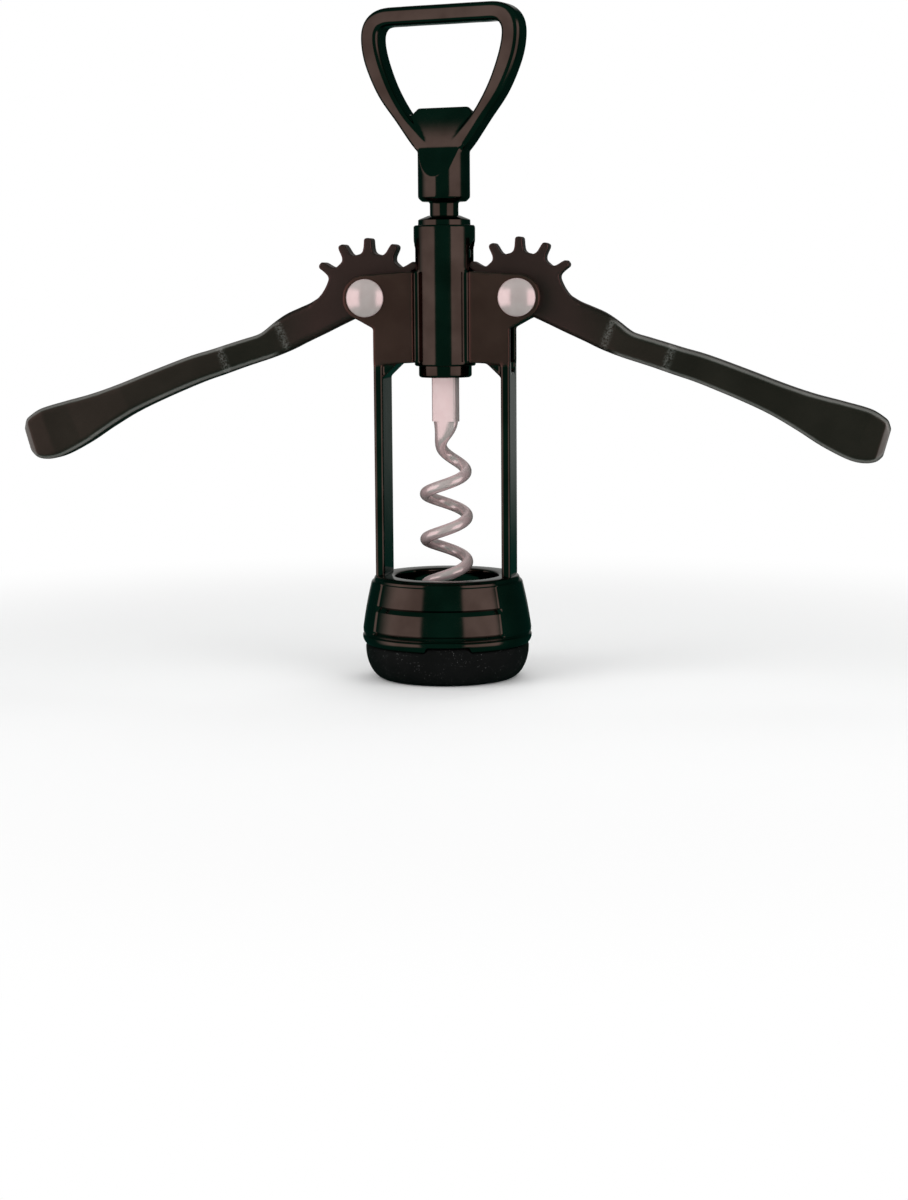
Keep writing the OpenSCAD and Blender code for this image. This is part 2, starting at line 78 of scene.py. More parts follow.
bell_low, bell_high = box_mm("bell")
barrel_low, barrel_high = box_mm("barrel")
handle_low, handle_high = box_mm("handle")
hinge = next(j for j in frame["record"]["behaviour"]["joints"] if j["name"] == "lever_right_pivot")
pivot = np.array(hinge["pos_m"]) / MM
print("pivot at", pivot, "bell from", bell_low[2], "to", bell_high[2])

# %% [markdown]
# ## Small tools for making surfaces
#
# Nearly every form on this tool is a loop of points carried along something: a turned part is a
# profile carried round an axis, a bow or a lever is a section carried along a line, and a plate is an
# outline carried through its thickness. One function, `loft`, skins such rows of points, so the
# others only have to say where the rows lie.


# %% Skins
def loft(rows):
    """Skins rows of points, an array of row by point by xyz: each row is a closed loop, joined to the
    next by four-sided faces, and the first and last loops are closed by one face each."""
    rows = np.asarray(rows, float)
    m, n = rows.shape[:2]
    i, j = np.meshgrid(np.arange(m - 1), np.arange(n), indexing="ij")
    here, there = i * n + j, i * n + (j + 1) % n
    quads = np.stack([here, there, there + n, here + n], axis=-1).reshape(-1, 4)
    ends = [list(range(n - 1, -1, -1)), list(range((m - 1) * n, m * n))]
    return outward(rows.reshape(-1, 3), quads.tolist() + ends)


def outward(points, faces):
    """Turns all faces over if the volume that they enclose comes out negative. The volume is the sum,
    over triangles, of the triple product of their corners. Larger faces count as fans of triangles."""
    quads = np.array([f for f in faces if len(f) == 4])
    a, b, c, d = (points[quads[:, k]] for k in range(4))
    volume = np.sum(a * np.cross(b, c)) + np.sum(a * np.cross(c, d))
    for face in faces:
        if len(face) != 4:
            fan = np.array(face)
            a, b, c = points[fan[0]], points[fan[1:-1]], points[fan[2:]]
            volume += np.sum(a * np.cross(b, c))
    return points, faces if volume > 0 else [f[::-1] for f in faces]


def wrapped(rows):
    """Skins rows that wrap in both directions: each row is a closed loop, and the last meets the first."""
    m, n = rows.shape[:2]
    i, j = np.meshgrid(np.arange(m), np.arange(n), indexing="ij")
    k, l = (i + 1) % m, (j + 1) % n
    quads = np.stack([i * n + j, i * n + l, k * n + l, k * n + j], -1).reshape(-1, 4)
    return outward(rows.reshape(-1, 3), quads.tolist())


def turned(profile, count):
    """Carries a closed profile of (radius, height) pairs all the way round the Z axis: each row is the
    profile turned by one step, x = r cos a and y = r sin a."""
    a = np.linspace(0, 2 * np.pi, count, endpoint=False)[:, None]
    r, z = np.array(profile, float).T
    return wrapped(np.stack([r * np.cos(a), r * np.sin(a), z + 0 * a], -1))


def disc_stack(profile, count):
    """Skins a solid turned part from its outer profile alone: one loop for each (radius, height)."""
    a = np.linspace(0, 2 * np.pi, count, endpoint=False)
    r, z = np.array(profile, float).T[..., None]
    return loft(np.stack([r * np.cos(a), r * np.sin(a), z + 0 * a], -1))


def slab(outline, y0, y1):
    """A plate from y0 to y1 whose outline is given as (x, z) pairs: two loops, one on each side."""
    outline = np.asarray(outline, float)
    x, z = outline[:, 0], outline[:, 1]
    return loft([np.stack([x, 0 * x + y, z], -1) for y in (y0, y1)])


# %% Lines and sections
def smooth_line(knots, steps):
    """A smooth line through rows of numbers. Between two knots it is the cubic that passes through
    both, whose slope at a knot is half the step from the knot before it to the knot after it."""
    p = np.asarray(knots, float)
    p = np.vstack([2 * p[0] - p[1], p, 2 * p[-1] - p[-2]])
    t = np.linspace(0, 1, steps, endpoint=False)[None, :, None]
    a, b, c, d = (p[k : len(p) - 3 + k, None, :] for k in range(4))
    squared, cubed = 2 * a - 5 * b + 4 * c - d, 3 * b - a - 3 * c + d
    curve = 0.5 * (2 * b + (c - a) * t + squared * t**2 + cubed * t**3)
    return np.vstack([curve.reshape(-1, p.shape[1]), p[-2]])


def rounded_section(half_w, half_t, r, per_corner=7):
    """A rectangle with round corners, as loops of (across, through) for arrays of half sizes. Each
    corner is a quarter circle of radius r whose centre is r inside both edges."""
    half_w, half_t, r = (np.asarray(v, float).reshape(-1, 1) for v in (half_w, half_t, r))
    turn = np.linspace(0, np.pi / 2, per_corner)
    w = np.concatenate([turn + q * np.pi / 2 for q in range(4)])[None, :]
    sx = np.repeat([1, -1, -1, 1], per_corner)[None, :]
    sy = np.repeat([1, 1, -1, -1], per_corner)[None, :]
    return np.stack([sx * (half_w - r) + r * np.cos(w), sy * (half_t - r) + r * np.sin(w)], -1)


def raised(section, x, z0, z1):
    """Carries a section of (x, y) pairs, shifted sideways by x, straight up from z0 to z1."""
    return loft([np.stack([section[:, 0] + x, section[:, 1], 0 * section[:, 0] + z], -1) for z in (z0, z1)])


def swept_bar(line, half_w, half_t, r):
    """Carries rounded sections along a line of (x, z) points. At each point the section's width runs
    square to the line in the XZ plane and its thickness runs along Y."""
    d = np.gradient(line, axis=0)
    d /= np.linalg.norm(d, axis=1, keepdims=True)
    across = np.stack([d[:, 1], -d[:, 0]], -1)
    s = rounded_section(half_w + 0 * line[:, 0], half_t + 0 * line[:, 0], r + 0 * line[:, 0])
    x = line[:, None, 0] + s[..., 0] * across[:, None, 0]
    z = line[:, None, 1] + s[..., 0] * across[:, None, 1]
    return loft(np.stack([x, s[..., 1], z], -1))


# %% Placing
def placed(part, turn=0.0, shift=(0, 0, 0), mirror_x=False):
    """Turns a part about Z by `turn` degrees, mirrors it in X if asked, and shifts it."""
    points, faces = part
    points = points.copy()
    if mirror_x:
        points[:, 0] *= -1
        faces = [f[::-1] for f in faces]
    a = math.radians(turn)
    spin = np.array([[math.cos(a), -math.sin(a), 0], [math.sin(a), math.cos(a), 0], [0, 0, 1]])
    return points @ spin.T + np.array(shift, float), faces


def laid_over(part):
    """Tips a part from the Z axis to the -Y axis, for hubs and caps that face the front."""
    points, faces = part
    return np.stack([points[:, 0], -points[:, 2], points[:, 1]], -1), faces


# %% [markdown]
# ## From skins to objects
#
# Blender keeps a shape in a mesh and shows it through an object. Each object here stays at the
# frame's origin with its place in its points, so a piece and the CAD node that it stands for share
# one frame. Two modifiers do what would be long in formulas: a Boolean cuts one solid out of another,
# and a Remesh with a Smooth after it turns solids that touch into one casting.


# %% From skins to objects
def put(name, *parts):
    """Makes one object from several skins. Its origin stays at the frame's origin."""
    points, faces, base = [], [], 0
    for part_points, part_faces in parts:
        points.append(part_points)
        faces += [tuple(k + base for k in f) for f in part_faces]
        base += len(part_points)
    mesh = bpy.data.meshes.new(name)
    mesh.from_pydata((np.vstack(points) * MM).tolist(), [], faces)
    mesh.shade_smooth()
    obj = bpy.data.objects.new(name, mesh)
    bpy.context.scene.collection.objects.link(obj)
    return obj


def settle(obj):
    """Applies an object's modifiers to its mesh."""
    graph = bpy.context.evaluated_depsgraph_get()
    mesh = bpy.data.meshes.new_from_object(obj.evaluated_get(graph))
    obj.modifiers.clear()
    obj.data = mesh


def cut_by(skin, *tools):
    """Takes the shapes of some skins out of another, with Boolean modifiers on short-lived objects, and
    reads the result back as a skin."""
    obj, *tools = [put("solid", each) for each in (skin, *tools)]
    for tool in tools:
        cut = obj.modifiers.new("cut", "BOOLEAN")
        cut.operation, cut.solver, cut.object = "DIFFERENCE", "EXACT", tool
    settle(obj)
    points = np.empty(len(obj.data.vertices) * 3)
    obj.data.vertices.foreach_get("co", points)
    faces = [tuple(p.vertices) for p in obj.data.polygons]
    for each in (obj, *tools):
        bpy.data.objects.remove(each)
    return points.reshape(-1, 3) / MM, faces


def melted(name, grain, softness, *parts):
    """One skin round all the parts, as a casting has: a voxel grid of `grain` mm takes their outside,
    and `softness` passes, each of which moves every point halfway to the middle of its neighbours,
    round its edges and fill its inner corners."""
    obj = put(name, *parts)
    melt = obj.modifiers.new("melt", "REMESH")
    melt.mode, melt.voxel_size, melt.use_smooth_shade = "VOXEL", grain * MM, True
    soft = obj.modifiers.new("soften", "SMOOTH")
    soft.factor, soft.iterations = 0.5, softness
    settle(obj)
    obj.data.shade_smooth()
    print(name, len(obj.data.polygons), "faces")
    return obj


dressed = {}  # the material slot of each piece, by its name


def dress(obj, body, slot, *nodes):
    """Makes a piece ride on its body, take its slot and stand for its CAD nodes."""
    dressed[obj.name] = slot
    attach(obj, body)
    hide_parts(*nodes)
    return obj


def crisp(name, degrees, body, slot, node, *parts):
    """One dressed piece from its skins, smooth but for edges where two faces meet at more than an angle."""
    obj = put(name, *parts)
    obj.data.set_sharp_from_angle(angle=math.radians(degrees))
    return dress(obj, body, slot, node)


def stand_at(obj, x, y, z, place):
    """Puts a camera or a lamp at a place in metres, with its own axes along three unit vectors."""
    rows = [[float(v[k]) for v in (x, y, z, place)] for k in range(3)]
    obj.matrix_world = Matrix(rows + [[0, 0, 0, 1]])


# %% [markdown]
# ## The camera
#
# The photograph looks at the tool's front from a little to its right and from slightly above the
# pivots. The lens is long, so the levers hardly shrink towards their ends. Azimuth, distance, height
# and tilt were worked out from the places of the pivot caps, the posts and the bell in the picture.

# %% Camera
view_azimuth = 9.6  # degrees round from the front, towards the right lever
view_tilt = 7.75  # degrees downwards
view_roll = -0.42  # degrees
view_away = 596.7  # from the axis, level
view_height = 100.7  # above the foot
view_pan = 1.75  # sideways
picture_h = 1200  # pixels
view_focal = 2349.6  # focal length, in the same pixels

a, t, roll = (math.radians(v) for v in (view_azimuth, view_tilt, view_roll))
side = np.array([math.cos(a), math.sin(a), 0])
level = np.array([-math.sin(a), math.cos(a), 0])
ahead = level * math.cos(t) - np.array([0, 0, math.sin(t)])
upward = np.cross(side, ahead)
right = side * math.cos(roll) + upward * math.sin(roll)
upward = np.cross(right, ahead)
stand = (-level * view_away + side * view_pan + np.array([0, 0, view_height])) * MM

lens = bpy.data.cameras.new("camera")
lens.sensor_width = 36
lens.lens = view_focal * lens.sensor_width / picture_h
lens.clip_start, lens.clip_end = 0.01, 20
camera = bpy.data.objects.new("camera", lens)
bpy.context.scene.collection.objects.link(camera)
stand_at(camera, right, upward, -ahead, stand)
bpy.context.scene.camera = camera
print("camera at", stand, "with a lens of", lens.lens, "mm")

# %% [markdown]
# ## The bell
#
# The bell is a turned form with three stacked bands and shallow grooves between them, front and
# rear. Under the posts it is plain: two pads stand a little proud and stop the bands. One grid
# carries the whole skin: the profile gives the radius at each height, and a mask round the axis
# decides where the bands are let in, so the pads' sides are true steps in the mesh. The foot has a
# shallow notch at the front and the rear, where a tab on the plastic guide sits.

# %% Bell
foot_r = 21.8  # the bell's radius at its foot
top_r = 18.4
lip_r = 13.3  # the hole in the bell's top
bore_r = 15.0  # the guide's bore, which the bell's inside follows
wall = 1.9
pad_out = 0.5  # how far a pad stands out
pad_half = 39.0  # degrees to each side of the post
grooves = ((0.232, 0.03, 0.4), (0.6, 0.082, 0.62))  # height and width as shares of bell_h, and depth
tab_h, tab_half, tab_turn = 1.1, 15.0, 10.0  # the notch: height, then half width and middle in degrees
bell_z0, bell_z1 = bell_low[2], bell_high[2]
bell_h = bell_z1 - bell_z0


def ease(s):
    """The smooth cubic 3s^2 - 2s^3, for s from 0 to 1."""
    return s * s * (3 - 2 * s)


def soft_step(x, edge, width):
    """0 below the edge and 1 above it, with the smooth cubic across the width."""
    return ease(np.clip((x - edge) / width + 0.5, 0, 1))


def tab_share(points):
    """1 where a point's angle round Z lies within the tab, at the front or the rear, and 0 elsewhere."""
    a = np.degrees(np.arctan2(points[:, 1], points[:, 0])) + 90 - tab_turn
    off = np.abs((a + 90) % 180 - 90)
    return 1 - soft_step(off, tab_half, 4)


def bell_skin(around=432):
    """Radius of the bell as a function of height share t and angle. The bands' radius is a line from
    foot to top plus a slight bulge, less a groove at each joint of two bands, which drops in steeply
    under the upper band and comes out along a slope to the lower one. A bead and a roll follow at the
    foot. A pad adds its own thickness wherever the angle from the nearest post is small enough. The
    rows of t are closest where the foot and the grooves curve."""
    t = np.concatenate([
        np.linspace(0, 0.13, 14), np.linspace(0.136, 0.26, 40), np.linspace(0.27, 0.49, 16),
        np.linspace(0.5, 0.64, 34), np.linspace(0.65, 0.9, 16), np.linspace(0.908, 0.955, 10),
    ])
    angle = np.linspace(0, 2 * np.pi, around, endpoint=False)
    off_post = np.degrees(np.abs((angle + np.pi / 2) % np.pi - np.pi / 2))
    band = foot_r - 0.3 + (top_r - foot_r + 0.3) * t + 0.35 * np.sin(np.pi * t)
    low = 1 - soft_step(t, 0.2, 0.03)
    tuck = 0.95 * np.clip((0.12 - t) / 0.12, 0, 1) ** 2.2
    roll = foot_r - 0.15 - tuck - 0.5 * soft_step(t, 0.148, 0.04)
    groove = sum(d * (1 - soft_step(t, g, 0.014)) * np.clip((t - g + w) / w, 0, 1) for g, w, d in grooves)
    bead = np.exp(-(((t - 0.184) / 0.011) ** 2)) * 0.32
    on_pad = 1 - soft_step(off_post, pad_half, 1.2)[:, None]
    pad = pad_out * soft_step(t, 0.2, 0.05) * (1 - soft_step(t, 0.925, 0.05))
    rim = soft_step(t, 0.915, 0.03) * 0.3
    r = band * (1 - low) + roll * low + (1 - on_pad) * (rim - groove) + bead + on_pad * pad
    z = np.broadcast_to(bell_z0 + t * bell_h, r.shape)
    # over the rim, through the hole in the top and down the inside, from the top of the bell
    inside = np.array([
        (top_r + 0.12, -0.55), (top_r - 0.1, -0.28), (top_r - 0.45, -0.08), (top_r - 0.9, 0),
        (lip_r + 0.85, -0.1), (lip_r + 0.35, -0.2), (lip_r + 0.06, -0.44), (lip_r, -0.8), (lip_r, -1.7),
        (lip_r + 0.25, -2.0), (bore_r + 0.4, -2.0), (top_r - wall - 0.3, -2.8),
        (top_r - wall + 0.6, -0.5 * bell_h), (foot_r - wall - 0.9, -0.5 * bell_h),
        (foot_r - wall - 0.9, -bell_h),
    ])
    r = np.concatenate([r, np.broadcast_to(inside[:, 0], (around, len(inside)))], 1)
    z = np.concatenate([z, np.broadcast_to(bell_z1 + inside[:, 1], (around, len(inside)))], 1)
    rows = np.stack([r * np.cos(angle)[:, None], r * np.sin(angle)[:, None], z], -1)
    points = rows.reshape(-1, 3)
    at_foot = 1 - soft_step(points[:, 2], bell_z0 + 0.9, 1.8)
    points[:, 2] += tab_h * tab_share(points) * at_foot
    return wrapped(points.reshape(rows.shape))


bell = crisp("bell_shell", 40, "frame", "black_nickel", "bell", bell_skin())
print("bell", len(bell.data.polygons), "faces")

# %% [markdown]
# ## The guide ring
#
# The guide is a plain plastic moulding: a round foot under the bell, close to a quarter circle, and a
# spigot inside it. The CAD's own ring with a finish would nearly do, but its curve is drawn in a few
# flat steps. So it is turned again from a finer profile, and the points of its upper edge rise into
# the bell's notch where the tab is.

# %% Guide ring
_, guide_high = box_mm("guide_ring")
rim_r = 16.6  # outside of the flat lower rim
guide_out, spigot_top = guide_high[0], guide_high[2]
spigot_r = foot_r - wall - 0.95
curve_h = bell_z0 - 0.85  # where the foot's curve ends
seat_z = bell_z0 - 0.02  # just under the bell
foot_curve = [
    (rim_r + (guide_out - rim_r) * math.sin(v) ** 1.15, curve_h * (1 - math.cos(v)))
    for v in np.radians(np.linspace(0, 90, 22))
]
guide_profile = [
    (bore_r + 0.7, 0), (rim_r - 0.5, 0), *foot_curve, (guide_out, bell_z0 - 0.7),
    (guide_out - 0.15, bell_z0 - 0.2), (guide_out - 0.4, seat_z), (spigot_r, seat_z), (spigot_r, spigot_top),
    (bore_r + 0.8, spigot_top), (bore_r + 0.5, bell_z0 + 0.5), (bore_r, bell_z0), (bore_r, 0.7),
    (bore_r + 0.2, 0.2),
]
points, faces = turned(guide_profile, 360)
at_lip = (points[:, 2] > bell_z0 - 1) & (points[:, 2] < bell_z0)
at_lip &= np.hypot(points[:, 0], points[:, 1]) > foot_r - wall - 0.5
points[:, 2] += tab_h * tab_share(points) * at_lip
guide = crisp("guide_moulding", 38, "frame", "guide_plastic", "guide_ring", (points, faces))
print("guide", len(guide.data.polygons), "faces")

# %% [markdown]
# ## The frame casting
#
# Posts, cheeks and barrel are one casting on the real tool, with a radius in every inner corner. CAD
# keeps them apart so that collision stays open. Here they are melted into one skin by a voxel grid,
# and a few smoothing passes give the radii. Working the same fillets out as formulas, where a flat
# plate meets a slotted tube, would take pages. The cheeks' outer layer stops short of the barrel,
# which leaves the groove that runs down beside it.

# %% Frame casting
_, post_high = box_mm("post_right")
cheek_low, cheek_high = box_mm("cheek_front_right")
window_half = 15.0  # half the way between the posts
post_out, post_deep = post_high[0], post_high[1]
cheek_z0, cheek_z1 = cheek_low[2], cheek_high[2]
cheek_out, cheek_in = -cheek_low[1], -cheek_high[1]
ear_r = cheek_high[0] - pivot[0]
barrel_r = barrel_high[0]
barrel_bore = 6.76
barrel_rise = 0.5  # how far the barrel stands above the CAD's, with a rolled rim
cheek_rise = 0.75  # how far the cheeks' top rises towards the barrel
slot_half_y, slot_half_z = 3.5, 14.2  # half the width and height of the barrel's slots
layers = ((7.1, cheek_out - 1.5, cheek_out), (5.8, cheek_in, cheek_out - 1.3))  # from x, from y, to y


def cheek_outline(inner):
    """Plate and ear as one outline that begins `inner` millimetres from the middle. The ear is an arc
    about the pivot from the top tangent, clockwise to where the slope to the post leaves it. The top
    rises a little towards the barrel."""
    ear = np.radians(np.linspace(90, -70, 48))
    curve = np.stack([pivot[0] + ear_r * np.cos(ear), pivot[2] + ear_r * np.sin(ear)], -1)
    slope_z = pivot[2] - ear_r - 1.8
    low = [[post_out, slope_z], [post_out, cheek_z0 - 0.6], [inner, cheek_z0 - 0.05]]
    return np.vstack([[[pivot[0] - 0.4, cheek_z1]], curve, low, [[inner, cheek_z1 + cheek_rise]]])


def through(loop, z, x0, x1):
    """A bar along X from x0 to x1, to cut with: its section is a loop of (y, z) pairs, raised by z."""
    return loft([np.stack([0 * loop[:, 0] + x, loop[:, 0], z + loop[:, 1]], -1) for x in (x0, x1)])


# %% Posts and barrel
def post_skin():
    """A post: a rounded section carried straight up from inside the bell's top to the cheeks, with the
    foot of the gap between front and rear cheek cut into its outer face."""
    section = rounded_section([(post_out - window_half) / 2], [post_deep], [0.5], 6)[0]
    middle = (post_out + window_half) / 2
    post = raised(section, middle, bell_z1 - 0.35, cheek_z0 + 0.02)
    gap = rounded_section([3.3], [4.5], [1.4], 6)[0]  # half width, half height and corner radius
    return cut_by(post, through(gap, cheek_z0 + 1.9, 15.9, 19))


def barrel_skin():
    """The barrel's tube with the two slots that let the gears reach the rack."""
    z0, z1 = barrel_low[2], barrel_high[2] + barrel_rise
    tube = turned([
        (barrel_bore, z0 + 0.4), (barrel_bore + 0.3, z0), (barrel_r - 0.25, z0), (barrel_r, z0 + 0.25),
        (barrel_r, z1 - 0.25), (barrel_r - 0.25, z1), (barrel_bore + 0.3, z1), (barrel_bore, z1 - 0.4)], 256)
    loop = rounded_section([slot_half_y], [slot_half_z], [slot_half_y - 0.01], 12)[0]
    return cut_by(tube, through(loop, pivot[2], 2, 12), through(loop, pivot[2], -12, -2))


# %% Casting
brace, brace_deep = 4.3, 5.8  # the small triangle under each cheek: its side, and half its thickness
brace_line = [
    [window_half - brace, cheek_z0 + 0.3], [window_half + 0.5, cheek_z0 - brace],
    [window_half + 0.5, cheek_z0 + 0.3],
]
castings = [barrel_skin()]
for flip in (False, True):
    castings.append(placed(post_skin(), mirror_x=flip))
    castings.append(placed(slab(brace_line, -brace_deep, brace_deep), mirror_x=flip))
    for facing in (1, -1):
        for inner, y0, y1 in layers:
            castings.append(placed(slab(cheek_outline(inner), facing * y0, facing * y1), mirror_x=flip))
yoke = melted("frame_casting", 0.325, 4, *castings)
dress(yoke, "frame", "black_nickel", "barrel", "post_left", "post_right",
      "cheek_front_left", "cheek_front_right", "cheek_rear_left", "cheek_rear_right")

# %% [markdown]
# ## Pivot caps
#
# Each pin ends in a bright domed cap, on a short straight side with a small radius where it meets the
# cheek. A squashed ball would be quicker, but its mirror image of the room bends in the wrong places.
# So the dome is part of a true sphere, whose radius follows from the cap's width and height.

# %% Pivot caps
cap_low, cap_high = box_mm("cap_front_right")
cap_r, cap_h = (cap_high[0] - cap_low[0]) / 2, cap_high[1] - cap_low[1]
rim_h = 0.5  # the straight side under the dome
dome_h = cap_h - rim_h
dome_r = (cap_r**2 + dome_h**2) / (2 * dome_h)
dome = np.linspace(math.asin((cap_r - 0.14) / dome_r), 0.004, 26)
cap_profile = [(cap_r - 0.1, 0), (cap_r, 0.1), (cap_r, 0.36)]
cap_profile += [(dome_r * math.sin(v), cap_h - dome_r * (1 - math.cos(v))) for v in dome]
cap = laid_over(disc_stack(cap_profile, 128))
for row, y_sign in (("front", 1), ("rear", -1)):
    for end, x_sign in (("left", -1), ("right", 1)):
        points, faces = placed(cap, shift=(x_sign * pivot[0], -cheek_out, pivot[2]))
        if y_sign < 0:  # mirroring turns a skin inside out, so its faces are turned over
            points, faces = points * np.array([1, -1, 1]), [f[::-1] for f in faces]
        node = f"cap_{row}_{end}"
        crisp(node + "_dome", 50, "frame", "bright_nickel", node, (points, faces))
print("caps", cap_r, "mm radius,", cap_h, "mm high")

# %% [markdown]
# ## The levers
#
# A lever is a casting too: a toothed disc, a hub and an arm that grows thicker between two creases
# and ends in a grip. The arm is a rounded section carried along a smooth line through a few stations,
# and the pieces are melted together as the frame was. The teeth are long and narrow, with round gaps.
# The arm's edges are marked in the mesh, where a pale painted highlight runs along them.

# %% Levers
module_mm, full_teeth, sector_teeth = 2.0, 13, 8
ring_pitch_r = module_mm * full_teeth / 2
tip_r, root_r = ring_pitch_r + 2.0, ring_pitch_r - 1.9
step_deg = 360 / full_teeth
tooth_phase = 6.8  # degrees from the rack's side up to the first tooth
gear_t, arm_t, grip_t = 6.0, 8.8, 7.4  # thickness
edge_highlight_from = 24.0  # sideways from the pivot, where the painted edge highlight begins


def sector_outline():
    """The toothed disc as one loop: for each tooth a narrow prong with a round tip, and between two
    teeth a round gap. Below its teeth the disc is cut straight across, close to the hub."""
    flank = np.array([
        [root_r - 0.1, 1.9], [root_r + 0.12, 1.6], [root_r + 0.5, 1.3], [root_r + 1.1, 1.1],
        [ring_pitch_r, 1.03], [tip_r - 0.8, 0.95], [tip_r - 0.35, 0.86], [tip_r - 0.1, 0.66], [tip_r, 0.35],
    ])
    prong = np.vstack([flank * [1, -1], flank[::-1]])
    loop = []
    for i in range(sector_teeth):
        a = math.radians(tooth_phase + (i - 2) * step_deg)
        loop.append(prong @ np.array([[math.cos(a), math.sin(a)], [-math.sin(a), math.cos(a)]]))
    first, last = (math.radians(tooth_phase + k * step_deg) for k in (-2, sector_teeth - 3))
    ends = np.array([last + 0.2, last + 0.3, last + 0.4, last + 0.5, first - 0.2])
    loop.append(root_r * np.stack([np.cos(ends), np.sin(ends)], -1))
    return np.vstack(loop)


# %% Arm
def arm_skin():
    """The arm of the right lever, from stations of sideways, up and half width. Its half thickness is
    that of the gear, then grows evenly between two places, and shrinks a little towards the grip."""
    stations = np.array([
        [3.5, 0.5, 5], [9, -2.6, 4.5], [13, -4.8, 4.25], [16, -6.15, 4.28], [19, -7.5, 4.33],
        [21, -8.6, 4.25], [23, -9.76, 4.02], [25, -10.92, 3.66], [27, -11.9, 3.38], [29, -12.6, 3.32],
        [31, -13.2, 3.34], [35, -14.45, 3.37], [40, -16.1, 3.45], [46, -18, 3.6], [56, -21.9, 3.8],
        [64, -25.3, 4.1], [71, -28.5, 4.9], [78, -31.6, 6.1], [85, -34.3, 6.7], [89.4, -35.6, 5.5],
        [91, -36.05, 3.6],
    ])
    line = smooth_line(stations, 8)
    places = [22, 37, 64, 78, 85, 89.4, 91.1]
    halves = [gear_t / 2, arm_t / 2, arm_t / 2, grip_t / 2, grip_t / 2, grip_t / 2 - 0.4, grip_t / 2 - 1.3]
    half_t = np.interp(line[:, 0], places, halves)
    r = np.minimum(1.45, np.minimum(line[:, 2], half_t) - 0.3)
    return swept_bar(line[:, :2], line[:, 2], half_t, r)


# %% Painted edge highlights and fillet
def mark_edges(obj, past):
    """Stores a value at each point, the mask of a pale painted highlight: 1 along the rounded edges and 0 on
    the flat faces. It follows the size of the normal's Y part, up to 1 and down again, and begins `past`
    millimetres sideways."""
    count = len(obj.data.vertices)
    points, normals = np.empty(count * 3), np.empty(count * 3)
    obj.data.vertices.foreach_get("co", points)
    obj.data.vertex_normals.foreach_get("vector", normals)
    x, turn = np.abs(points[::3]) / MM, np.abs(normals[1::3])
    edge = soft_step(turn, 0.35, 0.4) * (1 - soft_step(turn, 0.9, 0.14)) * soft_step(x, past, 3)
    mark = obj.data.attributes.new("rubbed_edge", "FLOAT", "POINT")
    mark.data.foreach_set("value", edge.astype(np.float32))


def fillet_outline():
    """Fills the corner between the last tooth's gap and the arm's upper edge. Its free side is the curve
    (1-t)^2 a + 2t(1-t) b + t^2 c, which leaves the arm along its edge and runs into the root circle."""
    a, b, c = np.array([15.2, -1.75]), np.array([11.6, 0.4]), np.array([10.2, 4.4])
    t = np.linspace(0, 1, 14)[:, None]
    return np.vstack([(1 - t) ** 2 * a + 2 * t * (1 - t) * b + t**2 * c, [[8, 2], [8, -3], [12.5, -4]]])


# %% Both levers
hub_r, hub_half = 5.0, cheek_in - 0.1
# the sector is drawn for the left lever, whose rack side faces +X, so it is mirrored for the right
sector = slab(sector_outline() * [-1, 1], -gear_t / 2, gear_t / 2)
hub = laid_over(disc_stack([(hub_r, -hub_half), (hub_r, hub_half)], 96))
fillet = slab(fillet_outline(), -gear_t / 2, gear_t / 2)
for name, flip in (("lever_right", False), ("lever_left", True)):
    parts = [placed(p, shift=(pivot[0], 0, pivot[2])) for p in (sector, fillet, hub, arm_skin())]
    lever = melted(name + "_casting", 0.27, 4, *[placed(p, mirror_x=flip) for p in parts])
    mark_edges(lever, pivot[0] + edge_highlight_from)
    dress(lever, name, "lever_black", name)

# %% [markdown]
# ## The rack
#
# The rack is turned from bar: six rings with sloping flanks, each with a small radius at its rim. The
# levers' teeth push on them as on a straight rack, and because they are round the rack may turn too.
# So one turned profile makes it, with its rings one tooth pitch apart.

# %% Rack
rack_low, rack_high = box_mm("rack_sleeve")
ring_r = rack_high[0]
core_r, rod_r = 3.6, 2.5
rod_bore = rod_r + 0.06
pitch = math.pi * module_mm
gap_angle = math.radians(tooth_phase - step_deg / 2)
top_ring = pivot[2] + ring_pitch_r * gap_angle + 3 * pitch
flat_half, foot_half = 1.12, 2.2  # half a ring's height at its rim and at its foot
lower_half = [
    (core_r + 0.1, -foot_half - 0.3), (core_r + 0.25, -foot_half + 0.05), (ring_r - 0.22, -flat_half - 0.06),
    (ring_r - 0.05, -flat_half + 0.08), (ring_r, -flat_half + 0.3),
]
ring = lower_half + [(r, -h) for r, h in lower_half[::-1]]
rack_profile = [(rod_bore, rack_low[2]), (core_r + 2.4, rack_low[2])]
for i in range(5, -1, -1):
    z = top_ring - i * pitch
    rack_profile += [(r, z + h) for r, h in ring if rack_low[2] < z + h < rack_high[2] - 0.01]
# the top ring is taller than the others and ends in a shallow cone round the neck
cone = [(ring_r - 0.05, 2.0), (ring_r - 0.3, 2.2), (core_r + 0.45, 3.1), (core_r + 0.2, 3.1)]
rack_profile[-3:] = [(r, top_ring + h) for r, h in cone]
rack_profile += [(core_r + 0.2, rack_high[2] - 0.3), (rod_bore, rack_high[2] - 0.3)]
crisp("rack_rings", 44, "rack", "black_nickel", "rack_sleeve", turned(rack_profile, 160))
print("rings every", round(pitch, 3), "mm, top ring at", round(top_ring, 2))

# %% [markdown]
# ## The handle
#
# The handle is one casting: a bow of rounded bar, a web with the cap lifter's lip, and a round boss
# whose front and back are cut by slanting planes, so that a curved edge runs down each side. A block
# could be cut back to this form, but each part follows from its own simple rule: the bow is a section
# carried along a curve, the web is an outline carried through in loops, and the boss is turned and cut
# twice. They are melted together, drawn facing the front and turned by the angle in the photograph.

